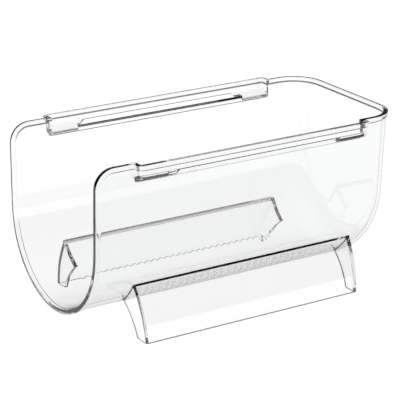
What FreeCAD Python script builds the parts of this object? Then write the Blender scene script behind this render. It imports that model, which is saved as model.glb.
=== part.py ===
"""Clear plastic stacking trough: an open-fronted U cradle for one roll or bottle.

Frame: millimetres, +Z up, the feet stand on Z = 0. +Y runs from the open mouth to the
closed back, +X is the right-hand side when looking in through the mouth, and the origin
is on the ground under the middle of the trough.

Pieces: the trough shell, a stacking rail on each side of its rim, and a foot under each
flank. Each piece is one solid, and the pieces meet face to face.
"""
import FreeCAD, Part
import math
import os

V = FreeCAD.Vector

# ---- overall size -------------------------------------------------------------------
LENGTH = 203.0            # mouth lip to back lip
HEIGHT = 104.5            # ground to rim
TROUGH_RADIUS = 47.2      # outside radius of the round floor
GROUND_GAP = 9.6          # ground to the lowest outside point of the floor

# ---- shell --------------------------------------------------------------------------
WALL = 1.8
SIDE_DRAFT = 1.0          # degrees, each side opens upwards
BACK_DRAFT = 1.3          # degrees, the back opens upwards
BACK_RADIUS = 18.6        # outside sweep from the back into the sides and floor
MOUTH_CORNER = 11.5       # rounding of each side where the rim turns down the mouth

# ---- lip: a thicker band along the rim and round the mouth ---------------------------
LIP_STEP = 0.9            # how far it stands out from the wall
LIP_DEPTH = 3.1           # height of the band along the rim, and its width at the mouth

# ---- floor ribs ---------------------------------------------------------------------
RIB_PITCH = 4.5
RIB_HEIGHT = 0.45
RIB_WIDTH = 3.0
RIB_HALF_ANGLE = 55.0     # degrees each way from the bottom of the floor
RIB_FRONT_SETBACK = 31.0  # mouth to the first rib
RIB_BACK_SETBACK = 41.0   # back to the last rib, at least
RIB_ROOT = 0.3            # how far a rib's section reaches into the floor

# ---- stacking rails -----------------------------------------------------------------
RAIL_JOG = 5.3            # how far the wall steps out in the rail
RAIL_FRONT_SETBACK = 24.3 # mouth to the rail's front end
RAIL_BACK_SETBACK = 27.1  # rail's back end to the back
RAIL_DEPTH = 8.5          # rim to the inner edge of the ledge
LEDGE_RISE = 2.3          # the ledge climbs this much towards the rail's wall
RAIL_CORNER = 3.0         # outside rounding of the rail's ends
RAIL_EDGE = 1.6           # outside rounding under the ledge
SLOT_WIDTH = 4.0          # drain slot, from the rail's wall in over the whole ledge
SLOT_FRONT_SETBACK = 19.4 # rail's front end to the slot
SLOT_BACK_SETBACK = 18.4
SLOT_CORNER = 3.4

# ---- feet ---------------------------------------------------------------------------
STACK_CLEARANCE = 0.4     # a foot inside the rail of the trough below, beside and behind it
STACK_FRONT_GAP = 3.5     # and in front of it
FOOT_WALL = 2.2
FOOT_WIDTH = 9.9          # of each end web, along the ground
FOOT_TOP_ANGLE = 32.5     # degrees below level where the foot's skirt leaves the flank
FOOT_ROOT_ANGLE = 54.3    # degrees below level where an end web leaves the flank
FOOT_BULGE = 2.5          # skirt's outward bow
WEB_BULGE = 1.8           # bow of the web's free edge
FOOT_END_DRAFT = 3.2      # degrees, the foot's ends spread upwards
FOOT_EDGE = 1.4           # rounding of the skirt's end edges
HEEL_RADIUS = 2.0         # rounding of the web's lower inner corner
FOOT_REACH = 6.0          # how far the foot's outline runs on into the trough before it is cut

# ---- worked out from the values above -----------------------------------------------
MOUTH_Y = -LENGTH / 2
BACK_Y = LENGTH / 2
AXIS_Z = GROUND_GAP + TROUGH_RADIUS
TAN_SIDE = math.tan(math.radians(SIDE_DRAFT))
TAN_BACK = math.tan(math.radians(BACK_DRAFT))
PAST = 20.0               # how far a cutting block runs past the body that it cuts

RIB_COUNT = 1 + int((LENGTH - RIB_FRONT_SETBACK - RIB_BACK_SETBACK) / RIB_PITCH)

RAIL_Y0 = MOUTH_Y + RAIL_FRONT_SETBACK
RAIL_Y1 = BACK_Y - RAIL_BACK_SETBACK
LEDGE_Z = HEIGHT - RAIL_DEPTH

FOOT_Y1 = RAIL_Y1 - WALL - STACK_CLEARANCE
FOOT_Y0 = RAIL_Y0 + WALL + STACK_FRONT_GAP


def half_width(z, offset):
    """Half width of the trough at height z, on a skin offset out from the wall's outside."""
    radius = TROUGH_RADIUS + offset
    if z >= side_start_z(offset):
        return radius / math.cos(math.radians(SIDE_DRAFT)) + (z - AXIS_Z) * TAN_SIDE
    return math.sqrt(radius ** 2 - (z - AXIS_Z) ** 2)


def side_start_z(offset):
    """Height where the round floor runs into the straight side."""
    return AXIS_Z - (TROUGH_RADIUS + offset) * math.sin(math.radians(SIDE_DRAFT))


def on_floor(angle_below_level):
    """Point on the outside of the round floor, at an angle below level on the +X side."""
    angle = math.radians(angle_below_level)
    return V(TROUGH_RADIUS * math.cos(angle), 0, AXIS_Z - TROUGH_RADIUS * math.sin(angle))


def prism_y(face, y0, y1):
    """Move a face drawn at Y = 0 to y0 and extrude it to y1."""
    moved = face.copy()
    moved.translate(V(0, y0, 0))
    return moved.extrude(V(0, y1 - y0, 0))


def polygon_face(points):
    return Part.Face(Part.makePolygon(list(points) + [points[0]]))


def bowed_edge(start, end, bulge, inset=0.0, before=0.0, after=0.0):
    """Arc in an XZ plane from start to end, bowed to the right of the way it runs.

    It can be moved in towards its centre by inset, and run on past its two ends.
    """
    chord = (end - start).normalize()
    side = V(-chord.z, 0, chord.x)
    arc = Part.Arc(start, (start + end) / 2 + side * bulge, end).toShape()
    circle = arc.Curve
    first = arc.FirstParameter - before / circle.Radius
    last = arc.LastParameter + after / circle.Radius
    circle.Radius = circle.Radius - inset
    return Part.ArcOfCircle(circle, first, last).toShape()


def line_edge(start, end):
    return Part.LineSegment(start, end).toShape()


def first_point(edge):
    return edge.valueAt(edge.FirstParameter)


def last_point(edge):
    return edge.valueAt(edge.LastParameter)


def edges_where(shape, test):
    """Edges of a shape whose middle point passes the test."""
    chosen = []
    for edge in shape.Edges:
        middle = edge.valueAt((edge.FirstParameter + edge.LastParameter) / 2)
        if test(middle):
            chosen.append(edge)
    return chosen


# ---- trough -------------------------------------------------------------------------
def u_face(offset, top):
    """U section of the trough, filled in, on a skin offset out from the wall's outside."""
    radius = TROUGH_RADIUS + offset
    z0 = side_start_z(offset)
    x0 = half_width(z0, offset)
    x1 = half_width(top, offset)
    edges = [
        line_edge(V(x1, 0, top), V(x0, 0, z0)),
        Part.Arc(V(x0, 0, z0), V(0, 0, AXIS_Z - radius), V(-x0, 0, z0)).toShape(),
        line_edge(V(-x0, 0, z0), V(-x1, 0, top)),
        line_edge(V(-x1, 0, top), V(x1, 0, top)),
    ]
    return Part.Face(Part.Wire(edges))


def u_body(offset, top, front):
    """Filled trough on an offset skin: U section from front to the drafted, swept back."""
    back_top = BACK_Y - LIP_STEP + offset + (top - HEIGHT) * TAN_BACK
    body = prism_y(u_face(offset, top), front, back_top + PAST)
    fall = top + PAST
    wedge = polygon_face([V(0, back_top, top), V(0, back_top + 3 * PAST, top),
                          V(0, back_top + 3 * PAST, top - fall),
                          V(0, back_top - fall * TAN_BACK, top - fall)])
    wedge.translate(V(-2 * TROUGH_RADIUS, 0, 0))
    body = body.cut(wedge.extrude(V(4 * TROUGH_RADIUS, 0, 0)))
    near_back = back_top - fall * TAN_BACK
    swept = edges_where(body, lambda p: p.y > near_back and p.z < top - 1.0)
    return body.makeFillet(BACK_RADIUS + offset, swept)


def side_view(inset, y_back):
    """Side view of the trough with its rounded mouth corner, extruded right across."""
    y0 = MOUTH_Y + inset
    top = HEIGHT - inset
    corner = MOUTH_CORNER - inset
    turn = corner * (1 - math.sqrt(0.5))
    edges = [
        line_edge(V(0, y0, -PAST), V(0, y0, top - corner)),
        Part.Arc(V(0, y0, top - corner), V(0, y0 + turn, top - turn),
                 V(0, y0 + corner, top)).toShape(),
        line_edge(V(0, y0 + corner, top), V(0, y_back, top)),
        line_edge(V(0, y_back, top), V(0, y_back, -PAST)),
        line_edge(V(0, y_back, -PAST), V(0, y0, -PAST)),
    ]
    face = Part.Face(Part.Wire(edges))
    face.translate(V(-2 * TROUGH_RADIUS, 0, 0))
    return face.extrude(V(4 * TROUGH_RADIUS, 0, 0))


def floor_ribs(inner_radius):
    """Low rounded ribs across the inside of the floor."""
    half = RIB_WIDTH / 2
    sweep = 2 * RIB_HALF_ANGLE
    ribs = []
    for index in range(RIB_COUNT):
        y = MOUTH_Y + RIB_FRONT_SETBACK + index * RIB_PITCH
        foot_z = AXIS_Z - inner_radius
        crown = Part.Arc(V(0, y - half, foot_z), V(0, y, foot_z + RIB_HEIGHT),
                         V(0, y + half, foot_z)).toShape()
        root = Part.makePolygon([V(0, y + half, foot_z), V(0, y + half, foot_z - RIB_ROOT),
                                 V(0, y - half, foot_z - RIB_ROOT), V(0, y - half, foot_z)])
        section = Part.Face(Part.Wire([crown] + root.Edges))
        section.rotate(V(0, 0, AXIS_Z), V(0, 1, 0), -RIB_HALF_ANGLE)
        ribs.append(section.revolve(V(0, 0, AXIS_Z), V(0, 1, 0), sweep))
    return ribs


def trough_shell(rails):
    """Shell with its lip and ribs, notched where the rails carry the rim outwards."""
    cavity = u_body(-WALL, HEIGHT + PAST, MOUTH_Y - PAST)
    shell = u_body(0.0, HEIGHT + PAST, MOUTH_Y).cut(cavity)
    shell = shell.common(side_view(0.0, BACK_Y + PAST))
    band = u_body(LIP_STEP, HEIGHT + PAST, MOUTH_Y).cut(cavity)
    band = band.common(side_view(0.0, BACK_Y + PAST))
    band = band.cut(side_view(LIP_DEPTH, BACK_Y + 2 * PAST))
    shell = shell.fuse(band)
    shell = shell.fuse(floor_ribs(TROUGH_RADIUS - WALL)).removeSplitter()
    for side in (1, -1):
        shell = shell.cut(mirrored(rail_channel(), side))
    return shell.cut(rails).removeSplitter()


# ---- stacking rails -----------------------------------------------------------------
def rail_outside(offset=0.0):
    return half_width(HEIGHT, 0.0) + RAIL_JOG + offset


def rail_block(offset, bottom_edge, corner):
    """Filled rail on the +X side: a skin offset out from the outside of its wall."""
    x_out = rail_outside(offset)
    x_in = TROUGH_RADIUS / 2
    slope = LEDGE_RISE / (RAIL_JOG + TROUGH_RADIUS - half_width(LEDGE_Z, 0.0))
    inner_wall_x = half_width(LEDGE_Z, -WALL)
    thickness = (WALL + offset) / math.cos(math.atan(slope))
    ledge_at = LEDGE_Z - thickness - (inner_wall_x - x_in) * slope
    z_out = ledge_at + (x_out - x_in) * slope
    face = polygon_face([V(x_in, 0, ledge_at), V(x_out, 0, z_out),
                         V(x_out, 0, HEIGHT + PAST), V(x_in, 0, HEIGHT + PAST)])
    y0 = RAIL_Y0 - offset
    y1 = RAIL_Y1 + offset
    block = prism_y(face, y0, y1)
    uprights = edges_where(block, lambda p: p.x > x_out - 0.1 and not y0 + 0.1 < p.y < y1 - 0.1)
    block = block.makeFillet(corner, uprights)
    under = edges_where(block, lambda p: p.x > x_out - 0.1 and abs(p.z - z_out) < 0.1)
    return block.makeFillet(bottom_edge, under)


def rail_channel():
    """Space inside the +X rail, from the ledge up."""
    return rail_block(-WALL, RAIL_EDGE / 4, RAIL_CORNER - WALL)


def drain_slot():
    """Long slot through the +X ledge, against the rail's wall."""
    x1 = rail_outside(-WALL)
    x0 = x1 - SLOT_WIDTH
    y0 = RAIL_Y0 + SLOT_FRONT_SETBACK
    y1 = RAIL_Y1 - SLOT_BACK_SETBACK
    low = LEDGE_Z - 2 * WALL - LEDGE_RISE
    block = Part.makeBox(SLOT_WIDTH, y1 - y0, LEDGE_RISE + 4 * WALL, V(x0, y0, low))
    corners = edges_where(block, lambda p: p.x > x1 - 0.1 and p.z > low + 0.1
                          and p.z < low + LEDGE_RISE + 4 * WALL - 0.1
                          and (p.y < y0 + 0.1 or p.y > y1 - 0.1))
    return block.makeFillet(SLOT_CORNER, corners)


def stacking_rail():
    """Rail on the +X side: wall stepped out from the rim, sloping ledge, ends and lip."""
    below_rim = Part.makeBox(8 * TROUGH_RADIUS, 2 * LENGTH, HEIGHT + PAST,
                             V(-4 * TROUGH_RADIUS, -LENGTH, -PAST))
    lip_zone = Part.makeBox(8 * TROUGH_RADIUS, 2 * LENGTH, LIP_DEPTH,
                            V(-4 * TROUGH_RADIUS, -LENGTH, HEIGHT - LIP_DEPTH))
    inside_trough = u_body(0.0, HEIGHT + PAST, MOUTH_Y)
    rail = rail_block(0.0, RAIL_EDGE, RAIL_CORNER).common(below_rim)
    lip = rail_block(LIP_STEP, RAIL_EDGE, RAIL_CORNER + LIP_STEP).common(lip_zone)
    rail = rail.fuse(lip).cut(rail_channel())
    return rail.cut(inside_trough).cut(drain_slot()).removeSplitter()


# ---- feet ---------------------------------------------------------------------------
def foot():
    """Foot on the +X side: a bowed skirt under the flank, closed by a web at each end."""
    outer_x = rail_outside(-WALL) - STACK_CLEARANCE
    top = on_floor(FOOT_TOP_ANGLE)
    root = on_floor(FOOT_ROOT_ANGLE)
    toe = V(outer_x, 0, 0)
    heel = V(outer_x - FOOT_WIDTH, 0, 0)
    skirt = bowed_edge(top, toe, FOOT_BULGE, before=FOOT_REACH)
    free_edge = bowed_edge(root, heel, WEB_BULGE, before=FOOT_REACH)
    outline = Part.Wire([
        skirt,
        line_edge(toe, heel),
        free_edge,
        line_edge(first_point(free_edge), first_point(skirt)),
    ])
    solid = prism_y(Part.Face(outline), -LENGTH, LENGTH).common(foot_ends(0.0))
    heels = edges_where(solid, lambda p: abs(p.x - heel.x) < 0.1 and abs(p.z) < 0.1)
    solid = solid.makeFillet(HEEL_RADIUS, heels)
    middle_y = (FOOT_Y0 + FOOT_Y1) / 2
    half_skirt = (FOOT_Y1 - FOOT_Y0) / 2
    uprights = edges_where(solid, lambda p: p.x > heel.x + HEEL_RADIUS and p.z > 2.0
                           and abs(p.y - middle_y) > half_skirt - 1.0
                           and p.x > (top.x + toe.x) / 2)
    solid = solid.makeFillet(FOOT_EDGE, uprights)
    hollow = prism_y(inside_skirt(top, toe), -LENGTH, LENGTH).common(foot_ends(FOOT_WALL))
    return solid.cut(hollow).cut(u_body(0.0, HEIGHT, MOUTH_Y)).removeSplitter()


def foot_ends(inset):
    """Block between the foot's drafted ends, each end moved in by inset."""
    reach = 2 * AXIS_Z
    lean = reach * math.tan(math.radians(FOOT_END_DRAFT))
    y0 = FOOT_Y0 + inset
    y1 = FOOT_Y1 - inset
    face = polygon_face([V(0, y0 + lean, -reach), V(0, y0 - lean, reach),
                         V(0, y1 + lean, reach), V(0, y1 - lean, -reach)])
    return face.extrude(V(3 * TROUGH_RADIUS, 0, 0))


def inside_skirt(top, toe):
    """Face over all that lies inside the skirt, from its inner skin to the middle."""
    inner = bowed_edge(top, toe, FOOT_BULGE, inset=FOOT_WALL, before=FOOT_REACH, after=FOOT_WALL)
    high = first_point(inner)
    low = last_point(inner)
    middle_high = V(0, 0, high.z)
    middle_low = V(0, 0, low.z)
    return Part.Face(Part.Wire([
        inner,
        line_edge(low, middle_low),
        line_edge(middle_low, middle_high),
        line_edge(middle_high, high),
    ]))


# ---- build --------------------------------------------------------------------------
def mirrored(shape, side):
    """The shape itself for side 1, or its mirror image across X = 0 for side -1."""
    if side == 1:
        return shape.copy()
    return shape.mirror(V(0, 0, 0), V(1, 0, 0))


def build():
    rail = stacking_rail()
    right_foot = foot()
    rails = [mirrored(rail, 1), mirrored(rail, -1)]
    return {
        "trough_shell": trough_shell(rails),
        "right_stacking_rail": rails[0],
        "left_stacking_rail": rails[1],
        "right_foot": mirrored(right_foot, 1),
        "left_foot": mirrored(right_foot, -1),
    }


def main():
    os.makedirs("parts", exist_ok=True)
    for name, shape in build().items():
        shape.exportStep("parts/" + name + ".step")
        box = shape.BoundBox
        print(f"{name}: {len(shape.Solids)} solid, valid {shape.isValid()}, "
              f"volume {shape.Volume / 1000:.1f} cm3, "
              f"X {box.XMin:.1f} {box.XMax:.1f}, Y {box.YMin:.1f} {box.YMax:.1f}, "
              f"Z {box.ZMin:.1f} {box.ZMax:.1f}")


main()
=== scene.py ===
# %% [markdown]
# # Clear stacking trough
# A moulded polystyrene trough holds one roll or one bottle. Its floor is round, its front is
# open, and its back is swept up into a wall. A thick lip runs round the rim and the mouth, the
# sides step out into rails near the top, and two bowed feet stand in the rails of the trough
# below. It is one moulding, so in clear plastic it has to be one skin: a join between two
# solids would show as a mirror inside the wall.

# %% Load the frame
import math

import bmesh
import bpy
from mathutils import Matrix, Vector


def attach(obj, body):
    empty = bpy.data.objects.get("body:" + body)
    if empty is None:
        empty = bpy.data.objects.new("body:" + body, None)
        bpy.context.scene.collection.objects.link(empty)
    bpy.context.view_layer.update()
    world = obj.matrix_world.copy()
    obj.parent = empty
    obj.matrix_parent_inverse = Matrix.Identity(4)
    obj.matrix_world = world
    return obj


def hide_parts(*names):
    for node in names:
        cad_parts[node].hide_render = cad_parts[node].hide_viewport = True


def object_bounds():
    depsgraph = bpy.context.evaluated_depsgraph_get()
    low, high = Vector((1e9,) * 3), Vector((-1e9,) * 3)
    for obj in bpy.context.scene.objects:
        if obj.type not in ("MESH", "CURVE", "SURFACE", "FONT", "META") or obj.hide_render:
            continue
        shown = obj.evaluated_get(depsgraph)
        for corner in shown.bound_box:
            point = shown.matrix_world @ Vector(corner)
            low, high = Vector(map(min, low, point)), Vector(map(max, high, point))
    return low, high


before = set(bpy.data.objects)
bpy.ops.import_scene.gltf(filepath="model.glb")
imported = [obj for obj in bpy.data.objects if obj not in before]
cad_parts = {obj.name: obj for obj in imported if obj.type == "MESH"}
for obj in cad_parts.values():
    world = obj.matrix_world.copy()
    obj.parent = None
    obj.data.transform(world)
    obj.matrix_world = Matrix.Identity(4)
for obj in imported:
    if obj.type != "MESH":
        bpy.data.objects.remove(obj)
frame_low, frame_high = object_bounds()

MM = 0.001
print("nodes", sorted(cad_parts))
print("box, mm", [round(v / MM, 1) for v in (*frame_low, *frame_high)])

# %% [markdown]
# ## Sizes
# The trough is the moulded body: a round floor, two sides that open by one degree, and a back swept
# up with one large radius. Its length and rim height come from the frame, so those can't drift from
# it.

# %% Sizes of the trough, in millimetres
MOUTH_Y = frame_low.y / MM
BACK_Y = frame_high.y / MM
RIM_Z = frame_high.z / MM
RADIUS = 47.2
AXIS_Z = 56.8
WALL = 1.8
SIDE_DRAFT = math.radians(1.0)
SIDE_TAN = math.tan(SIDE_DRAFT)
BACK_TAN = math.tan(math.radians(1.3))
BACK_RADIUS = 18.6
MOUTH_CORNER = 11.5
LIP_STEP = 0.9
print("mouth", MOUTH_Y, "back", BACK_Y, "rim", RIM_Z)


# %% [markdown]
# ## Formulas for the wall
# The wall has an outer and an inner skin. They could be pulled by hand, but small errors in clear
# plastic bend every line seen through it, so each skin follows formulas. The rail is the stretch of
# side that steps out, with a sloping ledge inside it that carries the foot of another trough.

# %% Helpers for the skins
def half_width(z, offset):
    """Half width at height z of the skin that lies offset out from the wall's outside."""
    radius = RADIUS + offset
    slope_start = AXIS_Z - radius * math.sin(SIDE_DRAFT)
    if z >= slope_start:
        return radius / math.cos(SIDE_DRAFT) + (z - AXIS_Z) * SIDE_TAN
    return math.sqrt(max(radius ** 2 - (z - AXIS_Z) ** 2, 0.0))


def back_y(z, offset):
    return BACK_Y - LIP_STEP + offset + (z - RIM_Z) * BACK_TAN


RAIL_Y0 = -77.2
RAIL_Y1 = 74.4
RAIL_JOG = 5.3
RAIL_X = half_width(RIM_Z, 0.0) + RAIL_JOG
LEDGE_Z = 96.0
LEDGE_X = half_width(LEDGE_Z, -WALL)
LEDGE_RISE = 2.3
LEDGE_SLOPE = LEDGE_RISE / (RAIL_X - WALL - LEDGE_X)
UNDER_ROOT_Z = 93.6
UNDER_X = half_width(UNDER_ROOT_Z, 0.0)
UNDER_Z = 93.8
BOTTOM_Z = 96.1
print("rail x", round(RAIL_X, 2), "ledge from x", round(LEDGE_X, 2))


def ledge_top(x):
    return LEDGE_Z + (x - LEDGE_X) * LEDGE_SLOPE


def ledge_under(x):
    return UNDER_Z + (x - UNDER_X) * (BOTTOM_Z - UNDER_Z) / (RAIL_X - UNDER_X)


def side_rows():
    """Rows down a side: outer depth, outer stand-out, outer x in the rail, inner depth, inner x."""
    inner = RAIL_X - WALL
    rows = []
    for (depth, out), inner_depth in zip(LIP_PROFILE, LIP_INNER):
        rows.append((depth, out, RAIL_X + out, inner_depth, inner))
    corner = RIM_Z - ledge_top(inner)
    rows += [
        (5.4, 0.0, RAIL_X, 5.2, inner),
        (RIM_Z - BOTTOM_Z - 0.85, 0.0, RAIL_X, corner - 0.3, inner),
        (RIM_Z - BOTTOM_Z - 0.13, 0.0, RAIL_X - 0.22, corner - 0.05, inner - 0.05),
        (RIM_Z - ledge_under(RAIL_X - 0.75), 0.0, RAIL_X - 0.75,
         RIM_Z - ledge_top(inner - 0.3), inner - 0.3),
        (RIM_Z - ledge_under(50.2), 0.0, 50.2, RIM_Z - ledge_top(48.8), 48.8),
        (RIM_Z - ledge_under(UNDER_X + 0.5), 0.0, UNDER_X + 0.5,
         RIM_Z - ledge_top(LEDGE_X + 0.45), LEDGE_X + 0.45),
        (RIM_Z - ledge_under(UNDER_X + 0.1) + 0.1, 0.0, UNDER_X + 0.1,
         RIM_Z - ledge_top(LEDGE_X + 0.08) + 0.04, LEDGE_X + 0.08),
        (RIM_Z - UNDER_Z + 0.45, 0.0, None, RIM_Z - LEDGE_Z + 0.4, None),
        (RIM_Z - UNDER_Z + 1.2, 0.0, None, RIM_Z - LEDGE_Z + 1.2, None),
        (14.2, 0.0, None, 14.2, None),
        (20.0, 0.0, None, 20.0, None),
        (29.0, 0.0, None, 29.0, None),
        (39.0, 0.0, None, 39.0, None),
    ]
    return rows


# depth below the rim and stand-out of the lip, a bead with a round lower edge
LIP_PROFILE = ((0.0, 0.9), (0.5, 0.9), (2.15, 0.9), (2.54, 0.83), (2.84, 0.64), (3.03, 0.34),
               (3.12, 0.0), (3.6, 0.0))
LIP_INNER = (0.0, 0.5, 2.1, 2.5, 2.8, 3.1, 3.5, 4.1)
SIDE_ROWS = side_rows()
ARC_STEPS = 32
print("rows down a side", len(SIDE_ROWS))

# %% [markdown]
# ## Columns
# Rows run round the U and columns run from the mouth to the back. Columns stand close together
# where the surface turns, at the lip, the rail's ends and the back, and each rib of the floor takes
# four. Loops near a turn hold it tight when the surface is subdivided.

# %% Columns from the mouth to the middle of the back
RIB_PITCH = 4.5
RIB_Y0 = MOUTH_Y + 31.0
RIB_COUNT = 30
RIB_HEIGHT = 0.12
RIB_LIMIT = math.radians(55.0)
RIB_SHOULDER = 1.2
SHOULDER_SHARE = 0.62


def columns():
    """Columns: y of each skin, share of the rail's step, lip, rib, and place in the back."""
    cols = []

    def add(yo, yi=None, w=0.0, wi=None, lip=0.0, rib=0.0, plain=None, ends=0,
            phi=None, flat=None):
        cols.append(dict(yo=yo, yi=yo if yi is None else yi, w=w,
                         wi=w if wi is None else wi, lip=lip, rib=rib,
                         plain=yo if plain is None else plain, ends=ends,
                         phi=phi, flat=flat))

    m = MOUTH_Y
    for (depth, out), inner_depth in zip(LIP_PROFILE, LIP_INNER):
        add(m + depth, m + inner_depth, lip=out)
    for p in (6.0, 8.0, 10.0, 11.5, 14.0, 17.0, 20.0, 22.0):
        add(m + p)
    # rail's front end
    y = RAIL_Y0
    j = RAIL_JOG
    add(y - 0.6, y + WALL - 0.6, 0.0, plain=y - 0.6, ends=-1)
    add(y, y + WALL, 0.0, plain=y, ends=-1)
    add(y, y + WALL, 0.12, plain=y + 0.6, ends=-1)
    add(y, y + WALL, (j - 3) / j, (j - 1.2) / j, plain=y + 1.3, ends=-1)
    add(y + 0.25, y + WALL + 0.02, (j - 1.85) / j, (j - 0.75) / j, plain=y + 2.0, ends=-1)
    add(y + 0.88, y + WALL + 0.36, (j - 0.88) / j, (j - 0.36) / j, plain=y + 2.7, ends=-1)
    add(y + 1.85, y + WALL + 0.75, (j - 0.25) / j, (j - 0.02) / j, plain=y + 3.3, ends=-1)
    add(y + 3.0, y + WALL + 1.3, 1.0, plain=y + 3.9, ends=-1)
    for i in range(RIB_COUNT):
        c = RIB_Y0 + i * RIB_PITCH
        add(c - RIB_PITCH / 2, w=1.0)
        add(c - RIB_SHOULDER, w=1.0, rib=SHOULDER_SHARE)
        add(c, w=1.0, rib=1.0)
        add(c + RIB_SHOULDER, w=1.0, rib=SHOULDER_SHARE)
    add(RIB_Y0 + (RIB_COUNT - 0.5) * RIB_PITCH, w=1.0)
    y = RAIL_Y1
    add(65.0, w=1.0)
    add(68.0, w=1.0)
    add(y - 3.0, y - WALL - 1.3, 1.0, plain=y - 3.9, ends=1)
    add(y - 1.85, y - WALL - 0.75, (j - 0.25) / j, (j - 0.02) / j, plain=y - 3.3, ends=1)
    add(y - 0.88, y - WALL - 0.36, (j - 0.88) / j, (j - 0.36) / j, plain=y - 2.7, ends=1)
    add(y - 0.25, y - WALL - 0.02, (j - 1.85) / j, (j - 0.75) / j, plain=y - 2.0, ends=1)
    add(y, y - WALL, (j - 3) / j, (j - 1.2) / j, plain=y - 1.3, ends=1)
    add(y, y - WALL, 0.12, plain=y - 0.6, ends=1)
    add(y, y - WALL, 0.0, plain=y, ends=1)
    add(y + 0.6, y - WALL + 0.6, 0.0, plain=y + 0.6, ends=1)
    add(77.5)
    add(79.8)
    for k in range(0, 13):
        add(0.0, phi=k / 12 * math.pi / 2)
    for f in (0.12, 0.4, 0.7, 1.0):
        add(0.0, flat=f)
    return cols


COLUMNS = columns()
print("columns", len(COLUMNS))


# %% [markdown]
# ## One point at a time
# Every vertex comes from its row and its column. A single function for both skins keeps them a
# wall apart everywhere, which a thickness modifier wouldn't do at the rails and the lip.

# %% One vertex of either skin
def corner_map(p, q):
    """Distances from the mouth and the rim, moved so that the mouth's corner is round."""
    a, b = MOUTH_CORNER - p, MOUTH_CORNER - q
    if a <= 0 or b <= 0:
        return p, q
    m = max(a, b)
    angle = math.pi / 4 * b / a if a >= b else math.pi / 2 - math.pi / 4 * a / b
    return MOUTH_CORNER - m * math.cos(angle), MOUTH_CORNER - m * math.sin(angle)


def skin_point(row, col, outer):
    """row is ('side', k) or ('arc', angle below level); returns x (positive side), y, z in mm."""
    kind, value = row
    c = COLUMNS[col]
    if kind == "side":
        qo, off, xo, qi, xi = SIDE_ROWS[value]
        depth = qo if outer else qi
        rail_x = xo if outer else xi
        out = max(off, c["lip"])
    else:
        depth, rail_x, off, out = 99.0, None, 0.0, c["lip"]
    offset = out if outer else -WALL
    y = c["yo"] if outer else c["yi"]
    w = c["w"] if outer else c["wi"]
    if c["ends"]:
        if rail_x is None or rail_x - half_width(RIM_Z - depth, offset) < 0.6:
            y = c["plain"]
        elif outer and off > 0:
            y = y + c["ends"] * off
    in_back = c["phi"] is not None or c["flat"] is not None
    if kind == "side":
        if not in_back:
            p, depth = corner_map(y - MOUTH_Y, depth)
            y = p + MOUTH_Y
        z = RIM_Z - depth
        x = half_width(z, offset)
        if rail_x is not None and w > 0:
            x = x + w * (rail_x - x)
    else:
        radius = RADIUS + offset
        if not outer and c["rib"] > 0 and abs(math.pi / 2 - value) < RIB_LIMIT:
            radius -= RIB_HEIGHT * c["rib"]
        x = radius * math.cos(value)
        z = AXIS_Z - radius * math.sin(value)
    if in_back:
        corner = BACK_RADIUS + offset
        if c["phi"] is not None:
            inset = corner * (1 - math.cos(c["phi"]))
            behind = corner * (1 - math.sin(c["phi"]))
        else:
            reach = (half_width(RIM_Z - depth, offset) if kind == "side" else RADIUS + offset)
            inset = corner + (reach - corner) * c["flat"]
            behind = 0.0
        if kind == "side":
            x = x - inset
        else:
            radius = RADIUS + offset - inset
            x = radius * math.cos(value)
            z = AXIS_Z - radius * math.sin(value)
        y = back_y(z, offset) - behind
    return x, y, z


def all_rows():
    """Rows right round the U, with the sign of x."""
    rows = [(1, ("side", k)) for k in range(len(SIDE_ROWS))]
    start = SIDE_DRAFT
    for i in range(ARC_STEPS + 1):
        angle = start + (math.pi - 2 * start) * i / ARC_STEPS
        rows.append((1, ("arc", angle)))
    rows += [(-1, ("side", k)) for k in reversed(range(len(SIDE_ROWS)))]
    return rows


# %% [markdown]
# ## The cage
# The two grids are sewn together round the rim and the mouth. Two extra loops in the seam give
# the rim its narrow rounded edges.

# %% The cage of the trough
def new_piece(name, mesh):
    """Turn a finished bmesh into an object in the scene."""
    data = bpy.data.meshes.new(name)
    mesh.to_mesh(data)
    mesh.free()
    piece = bpy.data.objects.new(name, data)
    bpy.context.scene.collection.objects.link(piece)
    return piece


def trough_cage():
    rows = all_rows()
    mesh = bmesh.new()
    skins = []
    for outer in (True, False):
        grid = []
        for sign, row in rows:
            line = []
            for col in range(len(COLUMNS)):
                x, y, z = skin_point(row, col, outer)
                line.append(mesh.verts.new((sign * x * MM, y * MM, z * MM)))
            grid.append(line)
        skins.append(grid)
        for i in range(len(rows) - 1):
            for j in range(len(COLUMNS) - 1):
                face = (grid[i][j], grid[i + 1][j], grid[i + 1][j + 1], grid[i][j + 1])
                mesh.faces.new(face if outer else face[::-1])
    outer_grid, inner_grid = skins
    last_row = len(rows) - 1
    last_col = len(COLUMNS) - 1
    loop = [(i, 0) for i in range(last_row + 1)]
    loop += [(last_row, j) for j in range(1, last_col + 1)]
    loop += [(0, j) for j in range(last_col, 0, -1)]
    rings = [[outer_grid[i][j] for i, j in loop]]
    for share in (0.2, 0.8):
        ring = []
        for i, j in loop:
            ring.append(mesh.verts.new(outer_grid[i][j].co.lerp(inner_grid[i][j].co, share)))
        rings.append(ring)
    rings.append([inner_grid[i][j] for i, j in loop])
    count = len(loop)
    for a, b in zip(rings, rings[1:]):
        for n in range(count):
            k = (n + 1) % count
            mesh.faces.new((a[n], b[n], b[k], a[k]))
    bmesh.ops.remove_doubles(mesh, verts=mesh.verts, dist=1e-6)
    bmesh.ops.dissolve_degenerate(mesh, dist=1e-7, edges=mesh.edges)
    bmesh.ops.recalc_face_normals(mesh, faces=mesh.faces)
    return new_piece("trough", mesh)


trough = trough_cage()
print("trough cage", len(trough.data.vertices), "vertices", len(trough.data.polygons), "faces")

# %% [markdown]
# ## Feet
# A foot is a thin bowed skirt with a web at each end, standing on the ledges of the trough below.
# Its section is an arc with a known bulge, which is easier to keep even than a drawn curve.

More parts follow.
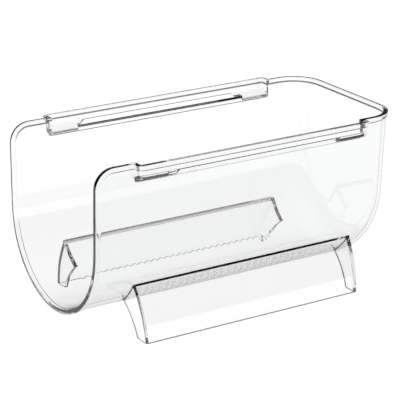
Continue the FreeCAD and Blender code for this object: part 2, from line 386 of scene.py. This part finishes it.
# %% The feet's bowed sections
FOOT_Y0 = RAIL_Y0 + WALL + 3.5
FOOT_Y1 = RAIL_Y1 - WALL - 0.4
FOOT_WALL = 2.2
TOE_X = RAIL_X - WALL - 0.4
HEEL_X = TOE_X - 9.9
END_TAN = math.tan(math.radians(3.2))
SKIRT_ROOT, SKIRT_BOW = 32.5, 2.5
WEB_ROOT, WEB_BOW = 54.3, 1.8


def on_floor(degrees):
    a = math.radians(degrees)
    return RADIUS * math.cos(a), AXIS_Z - RADIUS * math.sin(a)


def bow(start, end, bulge, inset):
    """Function of t, 0 to 1 along an arc bowed outwards from start to end, moved in by inset."""
    sx, sz = start
    ex, ez = end
    length = math.hypot(ex - sx, ez - sz)
    dx, dz = (ex - sx) / length, (ez - sz) / length
    nx, nz = -dz, dx
    radius = (length ** 2 / 4 + bulge ** 2) / (2 * bulge)
    cx = (sx + ex) / 2 - nx * (radius - bulge)
    cz = (sz + ez) / 2 - nz * (radius - bulge)
    half = math.asin(length / 2 / radius)

    def at(t):
        a = half * (2 * t - 1)
        r = radius - inset
        return (cx + r * (math.sin(a) * dx + math.cos(a) * nx),
                cz + r * (math.sin(a) * dz + math.cos(a) * nz))
    return at


SKIRT = bow(on_floor(SKIRT_ROOT), (TOE_X, 0.0), SKIRT_BOW, 0.0)
SKIRT_INNER = bow(on_floor(SKIRT_ROOT), (TOE_X, 0.0), SKIRT_BOW, FOOT_WALL)
WEB_EDGE = bow(on_floor(WEB_ROOT), (HEEL_X, 0.0), WEB_BOW, 0.0)
print("skirt", SKIRT(0), SKIRT(1), "web edge", WEB_EDGE(0), WEB_EDGE(1))


# %% [markdown]
# ## A foot's cage
# Levels run from the ground to the trough, and stations run along the web, round the corner and
# down the skirt. The top flares a little and runs into the floor, so the join has a soft root.
# One function makes both feet, and the side is only a sign.

# %% The cage of one foot
FOOT_LEVELS = (1.0, 0.985, 0.94, 0.8, 0.6, 0.4, 0.2, 0.09, 0.045, 0.02, 0.0, -1.0)
FLARE = {0.045: 0.02, 0.02: 0.12, 0.0: 0.4, -1.0: 0.5}


EDGE_OUTSIDE, EDGE_INSIDE = 1.4, 0.5
ROOT_OVERLAP = 0.9
WEB_STEPS = (1.0, 0.95, 0.75, 0.5, 0.32)
CORNER_STEPS = 3


def foot_stations():
    """One end of a foot in plan: along the web, then round the corner to the skirt."""
    web = [dict(g=g, corner=None) for g in WEB_STEPS]
    corner = [dict(g=0.0, corner=k / CORNER_STEPS * math.pi / 2)
              for k in range(CORNER_STEPS + 1)]
    return web + corner


def foot_cage(side):
    mesh = bmesh.new()
    half = foot_stations()
    spans = [0.02, 0.1, 0.2, 0.3, 0.4, 0.5, 0.6, 0.7, 0.8, 0.9, 0.98]
    stations = [("front", s) for s in half]
    stations += [("skirt", s) for s in spans]
    stations += [("rear", s) for s in reversed(half)]
    skins = []
    for outer in (True, False):
        grid = []
        for t in FOOT_LEVELS:
            line = []
            run_in = t < 0
            tt = max(t, 0.0)
            for zone, s in stations:
                sx, sz = (SKIRT if outer else SKIRT_INNER)(tt)
                y0 = FOOT_Y0 - sz * END_TAN + (0 if outer else FOOT_WALL)
                y1 = FOOT_Y1 + sz * END_TAN - (0 if outer else FOOT_WALL)
                r = EDGE_OUTSIDE if outer else EDGE_INSIDE
                if zone == "skirt":
                    x, z, y = sx, sz, y0 + r + (y1 - y0 - 2 * r) * s
                else:
                    if s["corner"] is not None:
                        x = sx - r * (1 - math.sin(s["corner"]))
                        z = sz
                        dy = r * (1 - math.cos(s["corner"]))
                    else:
                        fx, fz = WEB_EDGE(tt)
                        g = s["g"]
                        x = sx * (1 - g) + fx * g
                        z = sz * (1 - g) + fz * g
                        dy = 0.0
                    y0 = FOOT_Y0 - z * END_TAN + (0 if outer else FOOT_WALL)
                    y1 = FOOT_Y1 + z * END_TAN - (0 if outer else FOOT_WALL)
                    y = y0 + dy if zone == "front" else y1 - dy
                if t >= 1.0:
                    z = 0.0
                turned = 1.0 if zone == "skirt" else 0.0
                if zone != "skirt" and s["corner"] is not None:
                    turned = math.sin(s["corner"])
                flare = FLARE.get(t, 0.0) * (1.0 if outer else -0.6)
                reach = math.hypot(x, z - AXIS_Z)
                angle = math.atan2(AXIS_Z - z, x) - flare * turned / RADIUS
                if t <= 0.0:
                    reach = RADIUS - (ROOT_OVERLAP if run_in else 0.0)
                x = reach * math.cos(angle)
                z = AXIS_Z - reach * math.sin(angle)
                if zone != "skirt":
                    y += flare * math.sqrt(1 - turned ** 2) * (-1 if zone == "front" else 1)
                line.append(mesh.verts.new((side * x * MM, y * MM, z * MM)))
            grid.append(line)
        skins.append(grid)
    rows, cols = len(FOOT_LEVELS), len(stations)
    for grid in skins:
        for i in range(rows - 1):
            for j in range(cols - 1):
                mesh.faces.new((grid[i][j], grid[i + 1][j], grid[i + 1][j + 1], grid[i][j + 1]))
    outer_grid, inner_grid = skins
    loop = [(0, j) for j in range(cols)]
    loop += [(i, cols - 1) for i in range(1, rows)]
    loop += [(rows - 1, j) for j in range(cols - 2, -1, -1)]
    loop += [(i, 0) for i in range(rows - 2, 0, -1)]
    rings = [[outer_grid[i][j] for i, j in loop]]
    for share in (0.18, 0.82):
        rings.append([mesh.verts.new(outer_grid[i][j].co.lerp(inner_grid[i][j].co, share))
                      for i, j in loop])
    rings.append([inner_grid[i][j] for i, j in loop])
    count = len(loop)
    for a, b in zip(rings, rings[1:]):
        for n in range(count):
            k = (n + 1) % count
            mesh.faces.new((a[n], a[k], b[k], b[n]))
    bmesh.ops.recalc_face_normals(mesh, faces=mesh.faces)
    return new_piece("right_foot_skin" if side > 0 else "left_foot_skin", mesh)


feet = [foot_cage(1), foot_cage(-1)]
print("foot cage", len(feet[0].data.polygons), "faces")


# %% [markdown]
# ## Tools
# Subdivision rounds a cage, and baking applies it, so the mesh is what is seen. The bar between two
# outlines is what the slots are cut with.

# %% Rounding and cutting tools
def smoothed(piece, levels):
    modifier = piece.modifiers.new("rounding", "SUBSURF")
    modifier.levels = levels
    modifier.render_levels = levels
    return piece


def baked(piece):
    """Apply every modifier, so that the mesh is what is seen."""
    bpy.context.view_layer.update()
    graph = bpy.context.evaluated_depsgraph_get()
    data = bpy.data.meshes.new_from_object(piece.evaluated_get(graph))
    piece.modifiers.clear()
    piece.data = data
    return piece


def prism(name, near_end, far_end):
    """Closed straight bar between two outlines with as many points each, in millimetres."""
    mesh = bmesh.new()
    ends = [[mesh.verts.new(Vector(point) * MM) for point in end] for end in (near_end, far_end)]
    mesh.faces.new(ends[0])
    mesh.faces.new(ends[1][::-1])
    count = len(near_end)
    for i in range(count):
        k = (i + 1) % count
        mesh.faces.new((ends[0][i], ends[1][i], ends[1][k], ends[0][k]))
    bmesh.ops.recalc_face_normals(mesh, faces=mesh.faces)
    return new_piece(name, mesh)


# %% [markdown]
# ## The drain slots
# Each ledge has a long slot that lets water out. It could be a hole left in the cage, but a
# straight cutter keeps its faces flat and its edges crisp. A second, low cutter opens the foot
# of the wall beside the slot.

# %% Cutters for the slots
SLOT_X = 48.3
SLOT_Y0 = RAIL_Y0 + 19.4
SLOT_Y1 = RAIL_Y1 - 18.4
SLOT_REACH = 6.0


def slot_plan(z):
    """Outline of the slot at height z: a long bar whose outer corners are quarter ellipses."""
    x0, x1 = SLOT_X, RAIL_X - WALL
    steps = [math.pi / 2 * k / 8 for k in range(9)]
    plan = [(x0, SLOT_Y0), (x0, SLOT_Y1)]
    plan += [(x0 + (x1 - x0) * math.sin(a), SLOT_Y1 - SLOT_REACH * (1 - math.cos(a)))
             for a in steps[1:]]
    plan += [(x0 + (x1 - x0) * math.cos(a), SLOT_Y0 + SLOT_REACH * (1 - math.sin(a)))
             for a in steps[:-1]]
    return [(x, y, z) for x, y in plan]


def slot_cutters(side):
    """Cutter for the slot in the ledge, and one that opens the foot of the rail's wall beside it."""
    low, high = UNDER_Z - 0.3, ledge_top(RAIL_X - WALL) + 0.6
    ledge_cut = [[(side * x, y, z) for x, y, z in slot_plan(height)] for height in (low, high)]
    wall = RAIL_X - WALL
    top = ledge_top(wall) + 0.1
    arch = [(SLOT_Y0 + 0.6, low), (SLOT_Y0 + SLOT_REACH, top), (SLOT_Y1 - SLOT_REACH, top),
            (SLOT_Y1 - 0.6, low)]
    wall_cut = [[(side * x, y, z) for y, z in arch] for x in (wall - 0.4, wall + 4.0)]
    return [prism("slot", *ledge_cut), prism("slot_arch", *wall_cut)]


print("slot from y", SLOT_Y0, "to", SLOT_Y1)


# %% [markdown]
# ## Joining
# Rounding comes first, because a subdivision surface needs clean quads. The feet are then joined
# and the slots cut with exact booleans, which leave one closed skin.

# %% Join the feet and cut the slots
def combine(piece, others, operation):
    for other in others:
        modifier = piece.modifiers.new(operation.lower(), "BOOLEAN")
        modifier.object = other
        modifier.operation = operation
        modifier.solver = "EXACT"
    baked(piece)
    for other in others:
        bpy.data.objects.remove(other)
    return piece


baked(smoothed(trough, 1))
for foot in feet:
    baked(smoothed(foot, 2))
combine(trough, feet, "UNION")
combine(trough, slot_cutters(1) + slot_cutters(-1), "DIFFERENCE")
trough.name = "clear_trough"
print("moulding", len(trough.data.vertices), "vertices", len(trough.data.polygons), "faces")


# %% [markdown]
# ## Shading
# A moulding has smooth faces and a few true edges. Marking edges sharper than a limit keeps those
# crisp, and everything else is shaded smooth.

# %% Shade smooth between the true edges
def soft_shading(piece, degrees):
    mesh = bmesh.new()
    mesh.from_mesh(piece.data)
    limit = math.radians(degrees)
    for face in mesh.faces:
        face.smooth = True
    for edge in mesh.edges:
        edge.smooth = len(edge.link_faces) != 2 or edge.calc_face_angle(0.0) < limit
    open_edges = sum(1 for edge in mesh.edges if not edge.is_manifold)
    mesh.to_mesh(piece.data)
    mesh.free()
    return open_edges


print("open edges", soft_shading(trough, 38))
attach(trough, "root")
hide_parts("trough_shell", "right_stacking_rail", "left_stacking_rail",
            "right_foot", "left_foot")


# %% [markdown]
# ## Clear polystyrene
# The real finish is polished and clear, and the thing looks darkest where one looks along a wall.
# Full transmission gives the clarity, absorption inside the solid greys long paths, and a facing
# weight paints shade into the colour, so the edges darken. A faint ripple stands for the flow of the
# melt, and small patches of haze for handling.

# %% Clear plastic
CLEAR = (0.985, 0.99, 0.99, 1)
# painted shade: the colour the clear plastic is darkened to where one looks along a wall
PAINTED_EDGE_SHADE = (0.06, 0.062, 0.064, 1)
STYRENE_IOR = 1.57
ABSORPTION = 12.0


def clear_plastic():
    material = bpy.data.materials.new("clear_polystyrene")
    material.use_nodes = True
    nodes = material.node_tree.nodes
    shader = nodes["Principled BSDF"]
    shader.inputs["Base Color"].default_value = CLEAR
    shader.inputs["Roughness"].default_value = 0.0
    shader.inputs["IOR"].default_value = STYRENE_IOR
    shader.inputs["Transmission Weight"].default_value = 1.0
    links = material.node_tree.links
    # Painted shade: a facing weight darkens the base colour to near black at grazing angles, so the
    # edges are shaded by the colour as well as by the light.
    weight = nodes.new("ShaderNodeLayerWeight")
    weight.inputs["Blend"].default_value = 0.5
    edge = nodes.new("ShaderNodeValToRGB")
    edge.color_ramp.interpolation = "EASE"
    edge.color_ramp.elements[0].position = 0.66
    edge.color_ramp.elements[0].color = CLEAR
    edge.color_ramp.elements[1].position = 0.92
    edge.color_ramp.elements[1].color = PAINTED_EDGE_SHADE
    links.new(weight.outputs["Facing"], edge.inputs[0])
    links.new(edge.outputs["Color"], shader.inputs["Base Color"])
    place = nodes.new("ShaderNodeTexCoord")
    flow = nodes.new("ShaderNodeTexNoise")
    flow.inputs["Scale"].default_value = 26.0
    flow.inputs["Detail"].default_value = 1.0
    links.new(place.outputs["Object"], flow.inputs["Vector"])
    ripple = nodes.new("ShaderNodeBump")
    ripple.inputs["Strength"].default_value = 0.12
    ripple.inputs["Distance"].default_value = 0.0004
    links.new(flow.outputs["Fac"], ripple.inputs["Height"])
    links.new(ripple.outputs["Normal"], shader.inputs["Normal"])
    wear = nodes.new("ShaderNodeTexNoise")
    wear.inputs["Scale"].default_value = 140.0
    wear.inputs["Detail"].default_value = 4.0
    links.new(place.outputs["Object"], wear.inputs["Vector"])
    haze = nodes.new("ShaderNodeMapRange")
    haze.inputs["From Min"].default_value = 0.55
    haze.inputs["From Max"].default_value = 0.8
    haze.inputs["To Min"].default_value = 0.0
    haze.inputs["To Max"].default_value = 0.05
    links.new(wear.outputs["Fac"], haze.inputs["Value"])
    links.new(haze.outputs["Result"], shader.inputs["Roughness"])
    volume = nodes.new("ShaderNodeVolumeAbsorption")
    volume.inputs["Color"].default_value = (0.0, 0.0, 0.0, 1)
    volume.inputs["Density"].default_value = ABSORPTION
    links.new(volume.outputs[0], nodes["Material Output"].inputs["Volume"])
    return material


trough.data.materials.clear()
trough.data.materials.append(clear_plastic())
print("finish", trough.data.materials[0].name, "absorption", ABSORPTION, "per metre")

# %% [markdown]
# ## Light
# Clear things are seen by what stands behind them. A dark surround with soft light from above draws
# the edges, and many light bounces are needed, because light turns many times inside a wall.

# %% Light
scene = bpy.context.scene
scene.view_settings.view_transform = "Standard"
LIGHT_BOUNCES = 48
scene.cycles.max_bounces = LIGHT_BOUNCES
scene.cycles.transmission_bounces = LIGHT_BOUNCES
scene.cycles.glossy_bounces = LIGHT_BOUNCES
world = bpy.data.worlds.new("studio")
scene.world = world
world.use_nodes = True
wn = world.node_tree.nodes
wl = world.node_tree.links
coord = wn.new("ShaderNodeTexCoord")
split = wn.new("ShaderNodeSeparateXYZ")
ramp = wn.new("ShaderNodeValToRGB")
wl.new(coord.outputs["Generated"], split.inputs[0])
wl.new(split.outputs["Z"], ramp.inputs[0])
ramp.color_ramp.elements[0].position = 0.0
ramp.color_ramp.elements[0].color = (0.04, 0.04, 0.042, 1)
ramp.color_ramp.elements[1].position = 0.95
ramp.color_ramp.elements[1].color = (0.42, 0.42, 0.42, 1)
dark = ramp.color_ramp.elements.new(0.5)
dark.color = (0.03, 0.03, 0.032, 1)
wl.new(ramp.outputs["Color"], wn["Background"].inputs["Color"])
wn["Background"].inputs["Strength"].default_value = 1.0

print("world dark below, soft light above")

# %% [markdown]
# ## Floor
# The floor is a wide, plain, pale disc that glows a little, like a light table. It dims only far
# from the trough, so it is pale from every side.

# %% The floor
FLOOR_GAP = 0.0002
POOL = 0.9
FALL_OFF = 0.7
LIT = 1.0
DIM = 0.55


def floor_disc():
    mesh = bmesh.new()
    bmesh.ops.create_circle(mesh, cap_ends=True, segments=96, radius=1.6)
    floor = new_piece("floor", mesh)
    floor.location.z = frame_low.z - FLOOR_GAP
    material = bpy.data.materials.new("lit_acrylic")
    material.use_nodes = True
    nodes, links = material.node_tree.nodes, material.node_tree.links
    shader = nodes["Principled BSDF"]
    shader.inputs["Base Color"].default_value = (0.2, 0.2, 0.2, 1)
    shader.inputs["Roughness"].default_value = 0.9
    shader.inputs["Specular IOR Level"].default_value = 0.0
    shader.inputs["Emission Color"].default_value = (1, 1, 1, 1)
    place = nodes.new("ShaderNodeTexCoord")
    distance = nodes.new("ShaderNodeVectorMath")
    distance.operation = "LENGTH"
    links.new(place.outputs["Object"], distance.inputs[0])
    fall = nodes.new("ShaderNodeMapRange")
    fall.interpolation_type = "SMOOTHSTEP"
    fall.inputs["From Min"].default_value = POOL
    fall.inputs["From Max"].default_value = POOL + FALL_OFF
    fall.inputs["To Min"].default_value = LIT
    fall.inputs["To Max"].default_value = DIM
    links.new(distance.outputs["Value"], fall.inputs["Value"])
    links.new(fall.outputs[0], shader.inputs["Emission Strength"])
    floor.data.materials.append(material)
    return floor


floor_disc()
print("floor: lit", LIT, "to", POOL, "m, then", DIM)

# %% [markdown]
# ## Camera
# A long lens from the right and a little above shows the mouth, one flank and both rails. It is
# built from its three axes, so its small roll can be given exactly.

# %% Camera
camera = bpy.data.objects.new("camera", bpy.data.cameras.new("camera"))
bpy.context.scene.collection.objects.link(camera)
scene.camera = camera
AZIMUTH, ELEVATION, ROLL = math.radians(57.16), math.radians(19.66), math.radians(0.46)
back = Vector((math.sin(AZIMUTH) * math.cos(ELEVATION), -math.cos(AZIMUTH) * math.cos(ELEVATION),
               math.sin(ELEVATION)))
right = Vector((math.cos(AZIMUTH), math.sin(AZIMUTH), 0))
up = back.cross(right)
right_rolled = right * math.cos(ROLL) + up * math.sin(ROLL)
up_rolled = up * math.cos(ROLL) - right * math.sin(ROLL)
camera.location = Vector((0.87048, -0.56668, 0.42607))
turn = Matrix((right_rolled, up_rolled, back)).transposed()
camera.rotation_euler = turn.to_euler()
FOCAL, FRAME_WIDTH, SENSOR = 1909.95, 400, 36
camera.data.lens = FOCAL / FRAME_WIDTH * SENSOR
camera.data.sensor_width = SENSOR
camera.data.clip_start, camera.data.clip_end = 0.01, 20
print("camera", camera.location[:], "lens", camera.data.lens)
